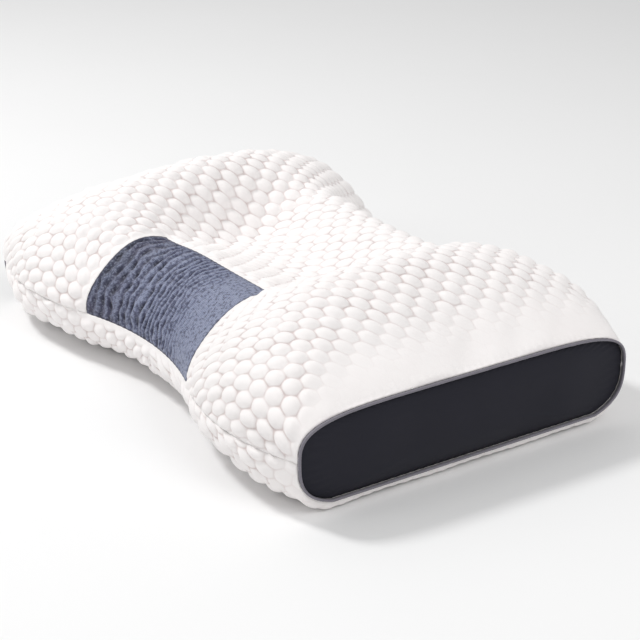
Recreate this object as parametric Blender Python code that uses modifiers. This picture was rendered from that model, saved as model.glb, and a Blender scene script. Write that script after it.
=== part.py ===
"""Contoured neck pillow: knitted covers over fibre cores, end panels with piping, and a zip.

Metres, +Z up. +X runs along the pillow, -Y is the neck side, and the origin is the middle
of the underside. Every cross-section is two superellipse arcs that meet at the side seams.
"""

import math

import bmesh
import bpy
from mathutils import Vector

# Plan: a concave waist arc runs into a convex wing arc, alike on the neck side and the back.
HALF_LENGTH = 0.315
WAIST_HALF_DEPTH = 0.1785
WING_HALF_DEPTH = 0.2185
WING_X = 0.215
WING_ARC = 0.270
WING_SWELL = WING_HALF_DEPTH - WAIST_HALF_DEPTH
ARC_SUM = (WING_X**2 + WING_SWELL**2) / (2 * WING_SWELL)
WAIST_ARC = ARC_SUM - WING_ARC
TANGENT_X = WING_X * WAIST_ARC / ARC_SUM

# Heights: the wings stand over the neck roll, the head hollow and the back rim.
SEAM_Z = 0.061
WING_HEIGHT = 0.178
END_HEIGHT = 0.104
CREST_X = 0.186
CREST_ROUND = 0.20
CENTRE_HEIGHT = 0.098
ROLL_RISE, ROLL_Y, ROLL_SPREAD = 0.052, -0.132, 0.084
RIM_RISE, RIM_Y, RIM_SPREAD = 0.052, 0.110, 0.060
VALLEY_X = (0.101, 0.185)
END_LIFT = 0.009
END_LIFT_X = 0.75 * HALF_LENGTH
FLAT_SHARE = 1.14

# Superellipse powers of the sections, at the middle and at the end panels.
POWER_X = 0.180
SIDE_POWER = (2.5, 5.6)
TOP_POWER = (1.9, 3.2)
ROLL_FULLNESS = 0.7
BASE_POWER = 2.8

# Covers and panels.
COVER = 0.0035
SEAM_GAP = 0.0010
NECK_PANEL_HALF = 0.110
NECK_PANEL_BACK_Y = -0.094
NECK_PANEL_GAP = 0.0006
END_PANEL = 0.0025
END_PANEL_INSET = 0.0050
END_PANEL_CROWN = 0.007
PIPING_RADIUS = 0.0018
PIPING_INSET = 0.0016

# Filling, held in chambers by sewn walls.
CORE_INSET = 0.0100
WALL = 0.0012
WALL_CLEARANCE = 0.0004
SIDE_WALL_X = 0.150
NECK_WALL_Y = -0.076

# Zip, in the back waist seam. Its track shares the centre of the waist arc.
TRACK_CENTRE = Vector((0.0, WAIST_HALF_DEPTH + WAIST_ARC, SEAM_Z))
TAPE_HALF_ANGLE = math.radians(19.8)
COIL_HALF_ANGLE = math.radians(18.85)
STOP_ANGLE = math.radians(0.6)
SLOT_HALF_HEIGHT = 0.0075
SLOT_END = 0.0015
TAPE_Z = (0.0024, 0.0068)
TAPE_DEPTH = (0.0008, 0.0016)
COIL_RADIUS = 0.0010
COIL_Z = 0.00115
COIL_DEPTH = -0.0004
SLIDER_LENGTH = 0.009
SLIDER_HALF_HEIGHT = 0.0039
SLIDER_CHANNEL_HALF_HEIGHT = 0.0026
SLIDER_BACK, SLIDER_ROOF, SLIDER_FACE = 0.0003, -0.0019, -0.0036
BRIDGE_LENGTH, BRIDGE_WIDTH, BRIDGE_TOP = 0.0064, 0.0016, -0.0066
BRIDGE_WINDOW_LENGTH, BRIDGE_WINDOW_TOP = 0.0040, -0.0054
TAB_PIVOT = -0.0045
TAB_THICKNESS, TAB_WIDTH, TAB_LENGTH = 0.0010, 0.0052, 0.0200
TAB_BAR, TAB_WINDOW_WIDTH, TAB_WINDOW_END = 0.0005, 0.0038, 0.0046
SLIDER_REST_ANGLE = math.radians(-17.6)

# Care label, blank, sewn into the back seam.
LABEL_X = 0.200
LABEL_WIDTH, LABEL_DROP, LABEL_THICKNESS = 0.025, 0.030, 0.0006
LABEL_STAND_OFF = 0.0012

# Rows and columns of the meshes.
PANEL_COLUMNS, WING_COLUMNS = 5, 13
NECK_ROWS, BACK_ROWS, BASE_ROWS = 9, 13, 16
OUTLINE_STEPS = 30
CORE_ROWS, CORE_COLUMNS = 12, 10


# ---- the pillow's outer skin ----

def smoothstep(value, low, high):
    t = min(max((value - low) / (high - low), 0.0), 1.0)
    return t * t * (3 - 2 * t)


def hump(y, centre, spread):
    return math.exp(-(((y - centre) / spread) ** 2))


def half_depth(x):
    """Half the pillow's depth at x, at the seams."""
    x = abs(x)
    if x < TANGENT_X:
        return WAIST_HALF_DEPTH + WAIST_ARC - math.sqrt(WAIST_ARC**2 - x**2)
    return WING_HALF_DEPTH - WING_ARC + math.sqrt(WING_ARC**2 - (x - WING_X) ** 2)


def crown_height(x, y):
    """Height of the top, before the section rounds it off towards the seams."""
    run = max(abs(x) - CREST_X, 0.0) / (HALF_LENGTH - CREST_X)
    fall = math.hypot(run, CREST_ROUND) - CREST_ROUND
    fall /= math.hypot(1.0, CREST_ROUND) - CREST_ROUND
    wing = WING_HEIGHT + (END_HEIGHT - WING_HEIGHT) * fall
    centre = CENTRE_HEIGHT
    centre += ROLL_RISE * hump(y, ROLL_Y, ROLL_SPREAD)
    centre += RIM_RISE * hump(y, RIM_Y, RIM_SPREAD)
    return centre + (wing - centre) * smoothstep(abs(x), *VALLEY_X)


def base_height(x):
    """Height of the underside, which lifts off the ground towards the end panels."""
    return END_LIFT * (max(abs(x) - END_LIFT_X, 0.0) / (HALF_LENGTH - END_LIFT_X)) ** 2


def power(pair, x):
    return pair[0] + (pair[1] - pair[0]) * smoothstep(abs(x), POWER_X, HALF_LENGTH)


def section_point(x, across, above, inset=0.0):
    """A point of the section at x. across runs from -1 at the front seam to 1 at the back."""
    u = math.sin(across * math.pi / 2)
    y = (half_depth(x) - inset) * u
    body = max(1 - abs(u) ** power(SIDE_POWER, x), 0.0)
    if above:
        fullness = ROLL_FULLNESS * (1 - smoothstep(abs(x), *VALLEY_X))
        rise = body ** (1 / (power(TOP_POWER, x) + fullness))
        return Vector((x, y, SEAM_Z + (crown_height(x, y) - inset - SEAM_Z) * rise))
    sink = min(FLAT_SHARE * body ** (1 / BASE_POWER), 1.0)
    return Vector((x, y, SEAM_Z - (SEAM_Z - base_height(x) - inset) * sink))


def across_at(x, y, inset=0.0):
    """The value of across at which the section at x has the depth y."""
    return math.asin(y / (half_depth(x) - inset)) * 2 / math.pi


def spaced(start, end, steps):
    return [start + (end - start) * i / steps for i in range(steps + 1)]


def section_loop(x, inset, steps, front=None, back=None):
    """The section's outline at x, closed by straight sides where it is cut at front or back."""
    start = -1.0 if front is None else across_at(x, front, inset)
    end = 1.0 if back is None else across_at(x, back, inset)
    stations = spaced(start, end, steps)
    top = [section_point(x, s, True, inset) for s in stations]
    base = [section_point(x, s, False, inset) for s in reversed(stations)]
    if back is None:
        base = base[1:]
    if front is None:
        base = base[:-1]
    return top + base


# ---- making and placing objects ----

def new_collection(name):
    collection = bpy.data.collections.new(name)
    bpy.context.scene.collection.children.link(collection)
    return collection


def new_material(name, colour, roughness, metallic=0.0):
    material = bpy.data.materials.new(name)
    material.use_nodes = True
    shader = material.node_tree.nodes["Principled BSDF"]
    shader.inputs["Base Color"].default_value = (*colour, 1.0)
    shader.inputs["Roughness"].default_value = roughness
    shader.inputs["Metallic"].default_value = metallic
    return material


def add_object(name, data, material=None):
    piece = bpy.data.objects.new(name, data)
    if material is None:
        cutters.objects.link(piece)
        piece.hide_render = True
        piece.display_type = "WIRE"
    else:
        parts.objects.link(piece)
        data.materials.append(material)
    return piece


def mesh_from(name, bm):
    bmesh.ops.recalc_face_normals(bm, faces=bm.faces)
    mesh = bpy.data.meshes.new(name)
    bm.to_mesh(mesh)
    bm.free()
    return mesh


def surface_mesh(name, rows, keep=lambda row, column: True):
    """An open sheet through rows of points, with its upper side out."""
    bm = bmesh.new()
    grid = [[bm.verts.new(p) for p in row] for row in rows]
    for r in range(len(grid) - 1):
        for c in range(len(grid[r]) - 1):
            if keep(r, c):
                bm.faces.new((grid[r][c], grid[r][c + 1], grid[r + 1][c + 1], grid[r + 1][c]))
    loose = [v for v in bm.verts if not v.link_faces]
    bmesh.ops.delete(bm, geom=loose, context="VERTS")
    mesh = bpy.data.meshes.new(name)
    bm.to_mesh(mesh)
    bm.free()
    return mesh


def loft_mesh(name, rings):
    """A closed solid through rings of points, with flat ends."""
    bm = bmesh.new()
    loops = [[bm.verts.new(p) for p in ring] for ring in rings]
    for first, second in zip(loops, loops[1:]):
        for i in range(len(first)):
            j = (i + 1) % len(first)
            bm.faces.new((first[i], first[j], second[j], second[i]))
    bm.faces.new(loops[0])
    bm.faces.new(loops[-1])
    return mesh_from(name, bm)


def box_mesh(name, low, high):
    bm = bmesh.new()
    bmesh.ops.create_cube(bm, size=1.0)
    low, high = Vector(low), Vector(high)
    for vertex in bm.verts:
        share = vertex.co + Vector((0.5, 0.5, 0.5))
        vertex.co = low + share * (high - low)
    return mesh_from(name, bm)


def smooth(piece, angle=40.0):
    piece.data.shade_smooth()
    piece.data.set_sharp_from_angle(angle=math.radians(angle))


def mirror_halves(piece):
    mirror = piece.modifiers.new("both_halves", "MIRROR")
    mirror.use_axis = (True, False, False)
    mirror.merge_threshold = 0.0001


def thicken(piece, thickness):
    solid = piece.modifiers.new("cloth", "SOLIDIFY")
    solid.thickness = thickness
    solid.offset = -1.0


def boolean(piece, tool, operation):
    cut = piece.modifiers.new(tool.name, "BOOLEAN")
    cut.operation = operation
    cut.object = tool


# ---- covers and panels ----

def half_columns():
    panel = spaced(0.0, NECK_PANEL_HALF, PANEL_COLUMNS)
    return panel + spaced(NECK_PANEL_HALF, HALF_LENGTH, WING_COLUMNS)[1:]


def cover_rows(columns, above, rows):
    """Rows of a cover, lifted off the seam by the seam's gap."""
    lift = Vector((0, 0, SEAM_GAP if above else -SEAM_GAP))
    points = [[section_point(x, rows(x)[r], above) for x in columns] for r in range(len(rows(0)))]
    for seam_row in (points[0], points[-1]):
        for point in seam_row:
            if abs(point.z - SEAM_Z) < SEAM_GAP:
                point.z = SEAM_Z + lift.z
    return points


def make_top_cover():
    """The upper knit cover, with an opening on the neck side for the neck panel."""
    columns = half_columns()

    def rows(x):
        edge = across_at(x, NECK_PANEL_BACK_Y)
        return spaced(-1.0, edge, NECK_ROWS) + spaced(edge, 1.0, BACK_ROWS)[1:]

    def outside_opening(row, column):
        return row >= NECK_ROWS or column >= PANEL_COLUMNS

    mesh = surface_mesh("top_cover", cover_rows(columns, True, rows), outside_opening)
    cover = add_object("top_cover", mesh, knit)
    mirror_halves(cover)
    thicken(cover, COVER)
    smooth(cover)
    return cover


def make_bottom_cover():
    """The lower knit cover: the sides below the seam and the flat underside."""
    rows = cover_rows(half_columns(), False, lambda x: spaced(1.0, -1.0, BASE_ROWS))
    cover = add_object("bottom_cover", surface_mesh("bottom_cover", rows), knit)
    mirror_halves(cover)
    thicken(cover, COVER)
    smooth(cover)
    return cover


def make_neck_panel():
    columns = spaced(0.0, NECK_PANEL_HALF - 2 * NECK_PANEL_GAP, PANEL_COLUMNS)
    back_y = NECK_PANEL_BACK_Y - 2 * NECK_PANEL_GAP

    def rows(x):
        return spaced(-1.0, across_at(x, back_y), NECK_ROWS)

    panel = add_object("neck_panel", surface_mesh("neck_panel", cover_rows(columns, True, rows)), slate)
    mirror_halves(panel)
    thicken(panel, COVER)
    smooth(panel)
    return panel


def end_outline(inset, side):
    """The end panel's outline, inset from the covers' edge."""
    points = section_loop(HALF_LENGTH, inset, OUTLINE_STEPS)
    return [Vector((side * p.x, p.y, p.z)) for p in points]


def make_end_panel(name, side):
    """A flat panel whose face the filling pushes out into a low crown."""
    outline = end_outline(END_PANEL_INSET, side)
    middle = Vector((side * HALF_LENGTH, 0, (END_HEIGHT + END_LIFT) / 2))
    back = Vector((side * -END_PANEL, 0, 0))
    rings = [[p + back for p in outline], outline]
    for share in (0.85, 0.6, 0.3):
        crown = Vector((side * END_PANEL_CROWN * (1 - share**2), 0, 0))
        rings.append([middle + (p - middle) * share + crown for p in outline])
    panel = add_object(name, loft_mesh(name, rings), navy)
    smooth(panel)
    return panel


def tube_curve(name, points, radius, closed):
    curve = bpy.data.curves.new(name, "CURVE")
    curve.dimensions = "3D"
    curve.bevel_depth = radius
    curve.bevel_resolution = 2
    curve.use_fill_caps = True
    spline = curve.splines.new("POLY")
    spline.points.add(len(points) - 1)
    spline.use_cyclic_u = closed
    for place, point in zip(spline.points, points):
        place.co = (*point, 1.0)
    return curve


def make_end_piping(name, side):
    """A thin cord in a cloth strip, round the end panel's edge."""
    out = Vector((side * (PIPING_RADIUS + SEAM_GAP), 0, 0))
    points = [p + out for p in end_outline(PIPING_INSET, side)]
    return add_object(name, tube_curve(name, points, PIPING_RADIUS, True), grey_piping)


# ---- filling and the sewn walls between its chambers ----

def make_chamber(name, stations, material, front=None, back=None, inset=CORE_INSET):
    rings = [section_loop(x, inset, CORE_ROWS, front, back) for x in stations]
    piece = add_object(name, loft_mesh(name, rings), material)
    smooth(piece)
    return piece


def make_cores():
    wall_side = SIDE_WALL_X + WALL / 2 + WALL_CLEARANCE
    wing_end = HALF_LENGTH - CORE_INSET
    middle_end = SIDE_WALL_X - WALL / 2 - WALL_CLEARANCE
    middle = spaced(-middle_end, middle_end, CORE_COLUMNS)
    half_wall = WALL / 2 + WALL_CLEARANCE
    make_chamber("wing_core_right", spaced(wall_side, wing_end, CORE_COLUMNS), fibre)
    make_chamber("wing_core_left", spaced(-wing_end, -wall_side, CORE_COLUMNS), fibre)
    make_chamber("neck_roll_core", middle, fibre, back=NECK_WALL_Y - half_wall)
    make_chamber("head_core", middle, fibre, front=NECK_WALL_Y + half_wall)
    for name, x in (("side_wall_right", SIDE_WALL_X), ("side_wall_left", -SIDE_WALL_X)):
        make_chamber(name, (x - WALL / 2, x + WALL / 2), liner)
    make_chamber(
        "neck_wall", middle, liner, front=NECK_WALL_Y - WALL / 2, back=NECK_WALL_Y + WALL / 2
    )


# ---- zip ----

def track_point(angle, depth, height):
    """A point by its angle along the zip, its depth into the pillow and its height."""
    radius = WAIST_ARC + depth
    return TRACK_CENTRE + Vector((radius * math.sin(angle), -radius * math.cos(angle), height))


def track_band(name, angles, depths, heights):
    """A band along the zip with a rectangular section."""
    steps = max(2, round(math.degrees(angles[1] - angles[0]) / 2.5))
    rings = []
    for angle in spaced(*angles, steps):
        corners = [(depths[0], heights[0]), (depths[1], heights[0])]
        corners += [(depths[1], heights[1]), (depths[0], heights[1])]
        rings.append([track_point(angle, depth, height) for depth, height in corners])
    return loft_mesh(name, rings)


def make_zip_slot(covers):
    reach = TAPE_HALF_ANGLE + SLOT_END / WAIST_ARC
    heights = (-SLOT_HALF_HEIGHT, SLOT_HALF_HEIGHT)
    slot = add_object("zip_slot", track_band("zip_slot", (-reach, reach), (-0.012, 0.012), heights))
    for cover in covers:
        boolean(cover, slot, "DIFFERENCE")


def make_zip_track():
    for name, sign in (("upper", 1), ("lower", -1)):
        heights = sorted(sign * z for z in TAPE_Z)
        angles = (-TAPE_HALF_ANGLE, TAPE_HALF_ANGLE)
        tape = track_band("zip_tape_" + name, angles, TAPE_DEPTH, heights)
        add_object("zip_tape_" + name, tape, zip_cloth)
        points = [
            track_point(angle, COIL_DEPTH, sign * COIL_Z)
            for angle in spaced(-COIL_HALF_ANGLE, COIL_HALF_ANGLE, 24)
        ]
        coil = tube_curve("zip_coil_" + name, points, COIL_RADIUS, False)
        add_object("zip_coil_" + name, coil, zip_coil)
    start = COIL_HALF_ANGLE + STOP_ANGLE / 4
    for name, angles in (
        ("zip_stop_right", (start, start + STOP_ANGLE)),
        ("zip_stop_left", (-start - STOP_ANGLE, -start)),
    ):
        add_object(name, track_band(name, angles, (-0.0018, 0.0005), (-0.0023, 0.0023)), zip_metal)


def make_zip_slider():
    """The slider's plate and flanges straddle both coils, and its bridge holds the pull tab."""
    centre = bpy.data.objects.new("zip_track_centre", None)
    parts.objects.link(centre)
    centre.location = TRACK_CENTRE
    centre.rotation_euler = (0, 0, SLIDER_REST_ANGLE)

    def block(name, half_length, half_height, inner, outer, material=None):
        low = (-half_length, -WAIST_ARC - outer, -half_height)
        high = (half_length, -WAIST_ARC - inner, half_height)
        piece = add_object(name, box_mesh(name, low, high), material)
        piece.parent = centre
        return piece

    half = SLIDER_LENGTH / 2
    slider = block("zip_slider", half, SLIDER_HALF_HEIGHT, SLIDER_FACE, SLIDER_BACK, zip_metal)
    channel = block(
        "slider_channel", SLIDER_LENGTH, SLIDER_CHANNEL_HALF_HEIGHT, SLIDER_ROOF, 2 * COIL_RADIUS
    )
    bridge = block(
        "slider_bridge", BRIDGE_LENGTH / 2, BRIDGE_WIDTH / 2, BRIDGE_TOP, SLIDER_FACE + 0.0005
    )
    window = block(
        "slider_window", BRIDGE_WINDOW_LENGTH / 2, BRIDGE_WIDTH, BRIDGE_WINDOW_TOP, SLIDER_FACE
    )
    boolean(slider, channel, "DIFFERENCE")
    boolean(slider, bridge, "UNION")
    boolean(slider, window, "DIFFERENCE")
    make_pull_tab(centre)


def make_pull_tab(centre):
    """A plate with a window; the bar at the window's end sits under the slider's bridge."""
    pivot = bpy.data.objects.new("pull_tab_pivot", None)
    parts.objects.link(pivot)
    pivot.parent = centre
    pivot.location = (0, -WAIST_ARC - TAB_PIVOT, 0)

    def plate(name, start, end, thickness, width, material=None):
        low = (start, -thickness / 2, -width / 2)
        high = (end, thickness / 2, width / 2)
        piece = add_object(name, box_mesh(name, low, high), material)
        piece.parent = pivot
        return piece

    tab = plate("zip_pull_tab", -TAB_BAR, TAB_LENGTH, TAB_THICKNESS, TAB_WIDTH, zip_metal)
    window = plate("tab_window", TAB_BAR, TAB_WINDOW_END, 2 * TAB_THICKNESS, TAB_WINDOW_WIDTH)
    boolean(tab, window, "DIFFERENCE")


# ---- care label ----

def make_care_label():
    low = (-LABEL_WIDTH / 2, -LABEL_THICKNESS / 2, -LABEL_DROP)
    high = (LABEL_WIDTH / 2, LABEL_THICKNESS / 2, 0)
    label = add_object("care_label", box_mesh("care_label", low, high), satin)
    turn = math.asin((WING_X - LABEL_X) / WING_ARC)
    label.location = (LABEL_X, half_depth(LABEL_X) + LABEL_STAND_OFF, SEAM_Z)
    label.rotation_euler = (0, 0, turn)


for old in list(bpy.data.objects):
    bpy.data.objects.remove(old)

parts = new_collection("neck_pillow")
cutters = new_collection("neck_pillow_cutters")
knit = new_material("white_knit", (0.88, 0.87, 0.87), 0.85)
slate = new_material("slate_knit", (0.12, 0.14, 0.26), 0.80)
navy = new_material("navy_cloth", (0.018, 0.020, 0.038), 0.85)
grey_piping = new_material("grey_piping", (0.30, 0.28, 0.33), 0.70)
fibre = new_material("fibre_fill", (0.90, 0.90, 0.89), 0.95)
liner = new_material("liner_cloth", (0.80, 0.80, 0.80), 0.90)
satin = new_material("satin_label", (0.85, 0.85, 0.84), 0.45)
zip_cloth = new_material("zip_tape", (0.80, 0.80, 0.80), 0.80)
zip_coil = new_material("zip_coil", (0.78, 0.78, 0.78), 0.35)
zip_metal = new_material("zip_metal", (0.62, 0.62, 0.64), 0.30, 1.0)

make_zip_slot((make_top_cover(), make_bottom_cover()))
make_neck_panel()
for end_name, end_side in (("right", 1), ("left", -1)):
    make_end_panel("end_panel_" + end_name, end_side)
    make_end_piping("end_piping_" + end_name, end_side)
make_cores()
make_zip_track()
make_zip_slider()
make_care_label()
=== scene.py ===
"""Looks of the contoured neck pillow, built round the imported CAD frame."""

import math

import bmesh
import bpy
import numpy as np
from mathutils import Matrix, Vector


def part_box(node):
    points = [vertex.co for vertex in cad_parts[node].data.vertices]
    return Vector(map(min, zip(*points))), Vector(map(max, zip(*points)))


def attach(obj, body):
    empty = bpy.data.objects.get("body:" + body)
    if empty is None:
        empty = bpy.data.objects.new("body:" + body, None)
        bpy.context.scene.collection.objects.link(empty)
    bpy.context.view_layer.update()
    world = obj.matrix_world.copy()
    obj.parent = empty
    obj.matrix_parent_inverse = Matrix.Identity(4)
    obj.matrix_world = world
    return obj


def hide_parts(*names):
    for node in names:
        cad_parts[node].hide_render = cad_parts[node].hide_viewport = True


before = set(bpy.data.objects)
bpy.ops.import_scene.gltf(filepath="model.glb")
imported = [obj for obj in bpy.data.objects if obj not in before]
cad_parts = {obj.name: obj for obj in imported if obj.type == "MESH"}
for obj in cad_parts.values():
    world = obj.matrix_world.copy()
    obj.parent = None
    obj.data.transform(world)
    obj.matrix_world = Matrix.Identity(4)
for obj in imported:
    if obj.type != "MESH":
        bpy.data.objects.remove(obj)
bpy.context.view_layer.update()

# Plan and heights, as in the CAD: waist and wing arcs, wings, neck roll, head hollow, back rim.
# END_LIFT is 3.5 mm more than in the CAD, so that the lower cover shows below the end's piping.
HALF_LENGTH = 0.315
WAIST_HALF_DEPTH, WING_HALF_DEPTH = 0.1785, 0.2185
WING_X, WING_ARC = 0.215, 0.270
WING_SWELL = WING_HALF_DEPTH - WAIST_HALF_DEPTH
ARC_SUM = (WING_X**2 + WING_SWELL**2) / (2 * WING_SWELL)
WAIST_ARC = ARC_SUM - WING_ARC
TANGENT_X = WING_X * WAIST_ARC / ARC_SUM
SEAM_Z = 0.061
WING_HEIGHT, END_HEIGHT, CREST_X, CREST_ROUND = 0.178, 0.104, 0.186, 0.20
CENTRE_HEIGHT = 0.098
ROLL_RISE, ROLL_Y, ROLL_SPREAD = 0.052, -0.132, 0.084
RIM_RISE, RIM_Y, RIM_SPREAD = 0.052, 0.110, 0.060
VALLEY_X = (0.101, 0.185)
END_LIFT, END_LIFT_X, FLAT_SHARE = 0.0125, 0.75 * HALF_LENGTH, 1.14
POWER_X, SIDE_POWER, TOP_POWER, BASE_POWER = 0.180, (2.5, 5.6), (1.9, 3.2), 2.8
ROLL_FULLNESS = 0.7
NECK_PANEL_HALF, NECK_PANEL_BACK_Y = 0.110, -0.094
SIDE_WALL_X, NECK_WALL_Y, WALL_GAP = 0.150, -0.076, 0.0010
CORE_INSET = 0.0115
END_MIDDLE = np.array([0.0, (END_HEIGHT + END_LIFT) / 2])
WALL_COLUMNS, WALL_ROWS = 90, 22

# The zip's track shares the centre of the waist arc.
TRACK_CENTRE = Vector((0.0, WAIST_HALF_DEPTH + WAIST_ARC, SEAM_Z))
TAPE_HALF_ANGLE, COIL_HALF_ANGLE = math.radians(19.8), math.radians(18.85)
SLIDER_REST_ANGLE = math.radians(-17.6)
ZIP_MOUTH, ZIP_LIP = 0.0050, 0.016
ZIP_BAND = (0.004, 0.022)  # from the zip, the puffs return between these distances
TAPE_Z, TAPE_DEPTH, TAPE_LEAN = (0.0022, 0.0120), 0.0012, 0.0029  # wider than the CAD's tapes
COIL_RADIUS, COIL_Z, COIL_DEPTH, COIL_PITCH, COIL_WIRE = 0.0011, 0.00105, -0.0003, 0.0013, 0.00032
TAB_PIVOT, TAB_LENGTH, TAB_WIDTH, TAB_THICKNESS = -0.0045, 0.0200, 0.0052, 0.0010

# The knit: rows of puffs, by the steps along a row and to the next one, as stretched on the pillow.
ROW_STEP, NEXT_ROW_STEP, PUFF_HEIGHT = (0.0177, 0.0088), (0.0089, 0.0190), 0.0063
PUFF_LEVEL = 0.42  # share of a puff's height that lies below the smooth skin
PUFF_REACH, PUFF_ROUND = 0.59, 0.66
CREASE_WIDTH, CREASE_DEPTH = 0.22, 0.34
SIDE_STRETCH, WING_MIDDLE = 0.30, 0.235
ROW_PITCH = math.sqrt(3) / 2
TOP_STEP, BASE_STEP, PANEL_STEP = 0.00185, 0.0023, 0.0011
TOP_FRONT_ROWS, TOP_BACK_ROWS, BASE_ROWS = 78, 196, 218
SMOOTH_END = 0.070
SEAM_SPLIT = 0.00004
HEM = (0.0012, 0.0022, 0.0030)
FLOOR_GAP, FLOOR_ROUND = 0.0004, 0.0006

PIPING_RADIUS, PIPING_INSET, PIPING_OUT = 0.0014, 0.0014, 0.0022
END_INSET, END_CROWN = 0.0018, 0.0085
END_STEPS, PIPING_STEPS, PIPING_TURNS = 420, 640, 18
LABEL_X, LABEL_WIDTH, LABEL_DROP, LABEL_STAND_OFF = 0.200, 0.025, 0.030, 0.0012
LABEL_TUCK = 0.15  # share of the label's drop that is sewn into the seam

VIEW_AZIMUTH, VIEW_ELEVATION, VIEW_DISTANCE, VIEW_HEIGHT = 57.16, 22.72, 1.97, 0.06
LENS, AIM_RIGHT, AIM_DOWN = 100.7, 0.0301, 0.0135


# ---- the pillow's outer skin ----

def smoothstep(value, low, high):
    t = np.clip((value - low) / (high - low), 0.0, 1.0)
    return t * t * (3 - 2 * t)


def hump(value, centre, spread):
    return np.exp(-(((value - centre) / spread) ** 2))


def half_depth(x):
    x = np.abs(x)
    waist = WAIST_HALF_DEPTH + WAIST_ARC - np.sqrt(WAIST_ARC**2 - np.minimum(x, TANGENT_X) ** 2)
    wing = WING_HALF_DEPTH - WING_ARC + np.sqrt(WING_ARC**2 - (np.maximum(x, TANGENT_X) - WING_X) ** 2)
    return np.where(x < TANGENT_X, waist, wing)


def crown_height(x, y):
    run = np.maximum(np.abs(x) - CREST_X, 0.0) / (HALF_LENGTH - CREST_X)
    fall = (np.hypot(run, CREST_ROUND) - CREST_ROUND) / (math.hypot(1.0, CREST_ROUND) - CREST_ROUND)
    wing = WING_HEIGHT + (END_HEIGHT - WING_HEIGHT) * fall
    centre = CENTRE_HEIGHT + ROLL_RISE * hump(y, ROLL_Y, ROLL_SPREAD) + RIM_RISE * hump(y, RIM_Y, RIM_SPREAD)
    return centre + (wing - centre) * smoothstep(np.abs(x), *VALLEY_X)


def settling(x, y):
    """The fibre has sunk a little behind one end of the neck roll, unlike in the CAD."""
    return 0.008 * hump(x, -0.108, 0.050) * hump(y, -0.088, 0.045)


def base_height(x):
    return END_LIFT * (np.maximum(np.abs(x) - END_LIFT_X, 0.0) / (HALF_LENGTH - END_LIFT_X)) ** 2


def power(pair, x):
    return pair[0] + (pair[1] - pair[0]) * smoothstep(np.abs(x), POWER_X, HALF_LENGTH)


def section_points(x, across, above, inset=0.0):
    """Points of the sections at x. across runs from -1 at the front seam to 1 at the back."""
    u = np.sin(across * math.pi / 2)
    y = (half_depth(x) - inset) * u
    body = np.maximum(1 - np.abs(u) ** power(SIDE_POWER, x), 0.0)
    if above:
        rise = crown_height(x, y) - settling(x, y) - inset - SEAM_Z
        fullness = ROLL_FULLNESS * (1 - smoothstep(np.abs(x), *VALLEY_X))
        z = SEAM_Z + rise * body ** (1 / (power(TOP_POWER, x) + fullness))
    else:
        sink = np.minimum(FLAT_SHARE * body ** (1 / BASE_POWER), 1.0)
        z = SEAM_Z - (SEAM_Z - base_height(x) - inset) * sink
    return np.stack(np.broadcast_arrays(x, y, z), axis=-1)


def across_at(x, y, inset=0.0):
    return np.arcsin(np.clip(y / (half_depth(x) - inset), -1, 1)) * 2 / math.pi


def run_lengths(points):
    """Distance along each row of points from its first point."""
    steps = np.linalg.norm(np.diff(points, axis=1), axis=2)
    return np.concatenate([np.zeros((len(points), 1)), np.cumsum(steps, axis=1)], axis=1)


def even_rows(x, start, end, above, steps):
    """across values that step evenly along each section from start to end."""
    fine = np.linspace(0, 1, 12 * steps)[None, :]
    across = start[:, None] + (end - start)[:, None] * fine
    run = run_lengths(section_points(x[:, None], across, above))
    even = np.linspace(0, 1, steps + 1)
    return np.array([np.interp(even * r[-1], r, a) for r, a in zip(run, across)])


def cloth_along(x):
    """Distance along the cloth from the pillow's middle, measured over the wings."""
    line = np.linspace(0, HALF_LENGTH, 400)
    rise = section_points(line, across_at(line, 0.0), True)[:, 2]
    run = np.concatenate([[0.0], np.cumsum(np.hypot(np.diff(line), 0.5 * np.diff(rise)))])
    return np.sign(x) * np.interp(np.abs(x), line, run)


# ---- grids of points ----

def grid_normals(points):
    along = np.gradient(points, axis=0)
    across = np.gradient(points, axis=1)
    normals = np.cross(along, across)
    return normals / (np.linalg.norm(normals, axis=2, keepdims=True) + 1e-12)


def level_at_seam(normals, seam_gap):
    """Turns the normals level beside the seam, so that both covers meet in one line there."""
    normals = normals.copy()
    normals[..., 2] *= smoothstep(seam_gap, 0.0, 0.006)
    return normals / (np.linalg.norm(normals, axis=2, keepdims=True) + 1e-12)


def waves(u, v, scale, seed):
    """A smooth, even field from about -1 to 1, with features of about the given scale."""
    rng = np.random.default_rng(seed)
    total = 0.0
    for _ in range(9):
        turn, phase = rng.uniform(0, 2 * math.pi, 2)
        rate = 2 * math.pi / scale * rng.uniform(0.6, 1.2)
        total = total + np.sin((u * math.cos(turn) + v * math.sin(turn)) * rate + phase)
    return total / 4.5


def hash_unit(a, b, seed):
    value = np.sin(a * 12.9898 + b * 78.233 + seed) * 43758.5453
    return value - np.floor(value)


def puff_places(u, v):
    """Cloth coordinates in steps of one puff, with each puff's six neighbours one step away."""
    side = smoothstep(-v, 0.14, 0.24)
    u = u - np.sign(u) * SIDE_STRETCH * side * (np.abs(u) - WING_MIDDLE)
    area = ROW_STEP[0] * NEXT_ROW_STEP[1] - ROW_STEP[1] * NEXT_ROW_STEP[0]
    row = (v * ROW_STEP[0] - u * ROW_STEP[1]) / area
    along = (u * NEXT_ROW_STEP[1] - v * NEXT_ROW_STEP[0]) / area + row / 2
    return np.stack(np.broadcast_arrays(along, row * ROW_PITCH), axis=-1)


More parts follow.
